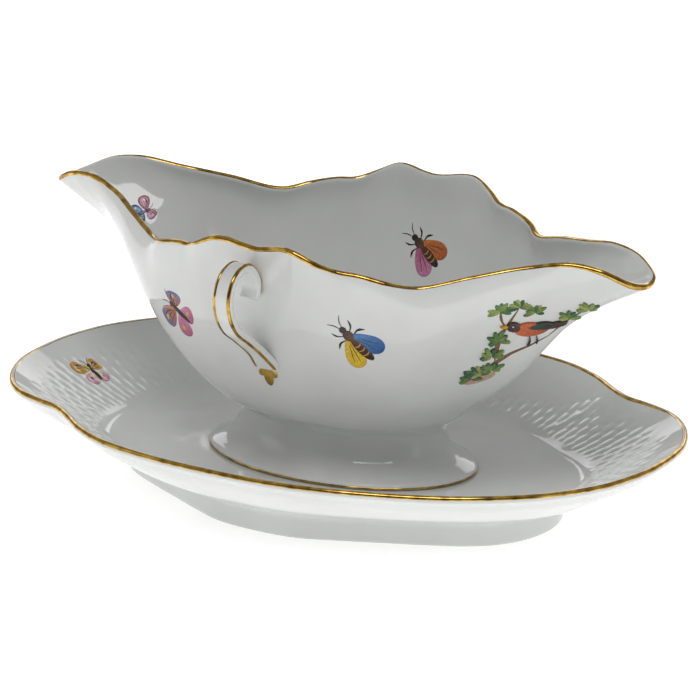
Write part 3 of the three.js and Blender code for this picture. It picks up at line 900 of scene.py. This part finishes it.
bough += [  # the bird: legs, tail, breast, head, wing, beak and eye
    stroke([(0.2, 0.6), (0.2, -1.8), (-0.6, -4.2)], 0.4),
    stroke([(2.2, 0.6), (2.6, -1.4), (2.2, -3.4)], 0.4),
    petal((4, 3.6), (12.5, 5.6), 2.4, "4a3328", "2d211c", 0.0),
    petal((6.5, 3), (-4.6, 3.8), 5.8, "a8452f", "c96a3c", 0.25),
    petal((-2.8, 4.2), (-7.0, 6.4), 4.0, "5a3a2c", "38261f", 0.0),
    petal((-0.8, 4.6), (8.2, 4.6), 3.2, "3b4a3a", "2a241f", 0.2),
    petal((-6.7, 6.0), (-9.2, 6.0), 0.9, "d9a23c", "b57e28", 0.0),
    petal((-5.6, 6.2), (-5.0, 5.7), 0.6, "f4efe4", "f4efe4", 0.0),
]
spot, facing = (77.5, -12, 70), (0.45, -0.85, -0.1)
painted = lay_on("painted_bird_on_bough", boat, spot, facing, 0, bough, enamel)
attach(painted, "boat")

# ----------------------------------------------------------------------------------------------
# The studio: a pale floor that glows, and glows less near the stand as a painted shadow, soft
# lights high in front and behind, two strips behind that show in the stand's well, and walls
# darker on the camera's side.
# ----------------------------------------------------------------------------------------------
paper, tree, shader = new_material("glowing_paper_with_painted_shadow")
shader.inputs["Base Color"].default_value = colour("fbfbfb")
shader.inputs["Roughness"].default_value = 0.9
# the floor glows by its own emission to light the stand from below, and glows less near the stand: a painted
# shadow under and round it
shader.inputs["Emission Color"].default_value = colour("ffffff")
place = add(tree, "ShaderNodeTexCoord").outputs["Object"]
away = add(tree, "ShaderNodeVectorMath", {0: place}, operation="LENGTH")
painted_shadow_glow = add(
    tree,
    "ShaderNodeMapRange",
    {"Value": away.outputs["Value"], "From Min": 0.05, "From Max": 0.3, "To Min": 0.46, "To Max": 0.85},
    interpolation_type="SMOOTHSTEP",
)
tree.links.new(painted_shadow_glow.outputs[0], shader.inputs["Emission Strength"])
FLOOR_REACH = 3  # metres
corners = [(x * FLOOR_REACH, y * FLOOR_REACH, 0) for x, y in ((-1, -1), (1, -1), (1, 1), (-1, 1))]
mesh = bpy.data.meshes.new("floor")
mesh.from_pydata(corners, [], [(0, 1, 2, 3)])
floor = bpy.data.objects.new("floor", mesh)
floor.data.materials.append(paper)
bpy.context.scene.collection.objects.link(floor)


def soft_light(name, place, aim, size, power):
    """A white softbox at the place, turned to the aim; metres and watts."""
    lamp = bpy.data.lights.new(name, "AREA")
    lamp.shape = "RECTANGLE"
    lamp.size, lamp.size_y = size
    lamp.energy = power
    holder = bpy.data.objects.new(name, lamp)
    holder.location = place
    holder.rotation_euler = (Vector(aim) - Vector(place)).to_track_quat("-Z", "Y").to_euler()
    bpy.context.scene.collection.objects.link(holder)


soft_light("high_front_softbox", (0.3, -0.7, 1.4), (0, 0.03, 0.05), (0.8, 0.5), 6.5)
soft_light("left_softbox", (-1.3, -0.7, 0.75), (0, 0, 0.05), (0.5, 0.8), 0.8)
soft_light("right_softbox", (1.5, -0.3, 0.6), (0, 0, 0.05), (0.4, 0.8), 0.7)
soft_light("back_left_softbox", (-1.4, 1.15, 0.8), (0, 0, 0.02), (0.6, 0.7), 2.0)
soft_light("back_right_softbox", (-0.25, 1.8, 0.8), (0, 0, 0.02), (0.8, 0.7), 2.6)
soft_light("left_strip", (-1.13, 1.55, 0.6), (0, 0, 0.012), (0.07, 0.6), 0.17)
soft_light("right_strip", (-0.87, 1.71, 0.6), (0, 0, 0.012), (0.09, 0.6), 0.22)
world = bpy.data.worlds.new("studio_walls")
bpy.context.scene.world = world
world.use_nodes = True
tree = world.node_tree
tree.nodes.clear()
sky = add(tree, "ShaderNodeTexCoord").outputs["Generated"]
split = add(tree, "ShaderNodeSeparateXYZ", {"Vector": sky})
shade = two_tone(tree, split.outputs[2], 0.0, "b0b1b1", 0.8, "a2a3a4")
toward = add(tree, "ShaderNodeVectorMath", {0: sky, 1: (0.52, -0.85, 0.0)}, operation="DOT_PRODUCT")
dim = add(
    tree,
    "ShaderNodeMapRange",
    {"Value": toward.outputs["Value"], "From Min": 0.1, "From Max": 0.85,
     "To Min": 0.95, "To Max": 0.3},
)
back = add(tree, "ShaderNodeBackground", {"Color": shade, "Strength": dim.outputs[0]})
add(tree, "ShaderNodeOutputWorld", {"Surface": back.outputs[0]})
bpy.context.scene.view_settings.view_transform = "Standard"

# the camera: turned round to the boat's front right, raised, and rolled a little
TURNED, RAISED, ROLLED = math.radians(31.88), math.radians(17.08), math.radians(1.17)
CAMERA_DISTANCE = 1.6  # metres
LOOKED_AT = Vector((0, 0, 0.0377))
RIGHT_OF_IT, ABOVE_IT = 0.00195, 0.0104
right = Vector((math.cos(TURNED), math.sin(TURNED), 0))
level = math.cos(RAISED)
behind = Vector((math.sin(TURNED) * level, -math.cos(TURNED) * level, math.sin(RAISED)))
above = behind.cross(right)
camera_x = right * math.cos(ROLLED) + above * math.sin(ROLLED)
camera_y = above * math.cos(ROLLED) - right * math.sin(ROLLED)
lens = bpy.data.cameras.new("camera")
lens.sensor_width = 36
lens.lens = 245
camera = bpy.data.objects.new("camera", lens)
aim = LOOKED_AT + camera_x * RIGHT_OF_IT + camera_y * ABOVE_IT
spot = aim + behind * CAMERA_DISTANCE
turned = Matrix((camera_x, camera_y, behind)).transposed().to_4x4()
camera.matrix_world = Matrix.Translation(spot) @ turned
bpy.context.scene.collection.objects.link(camera)
bpy.context.scene.camera = camera
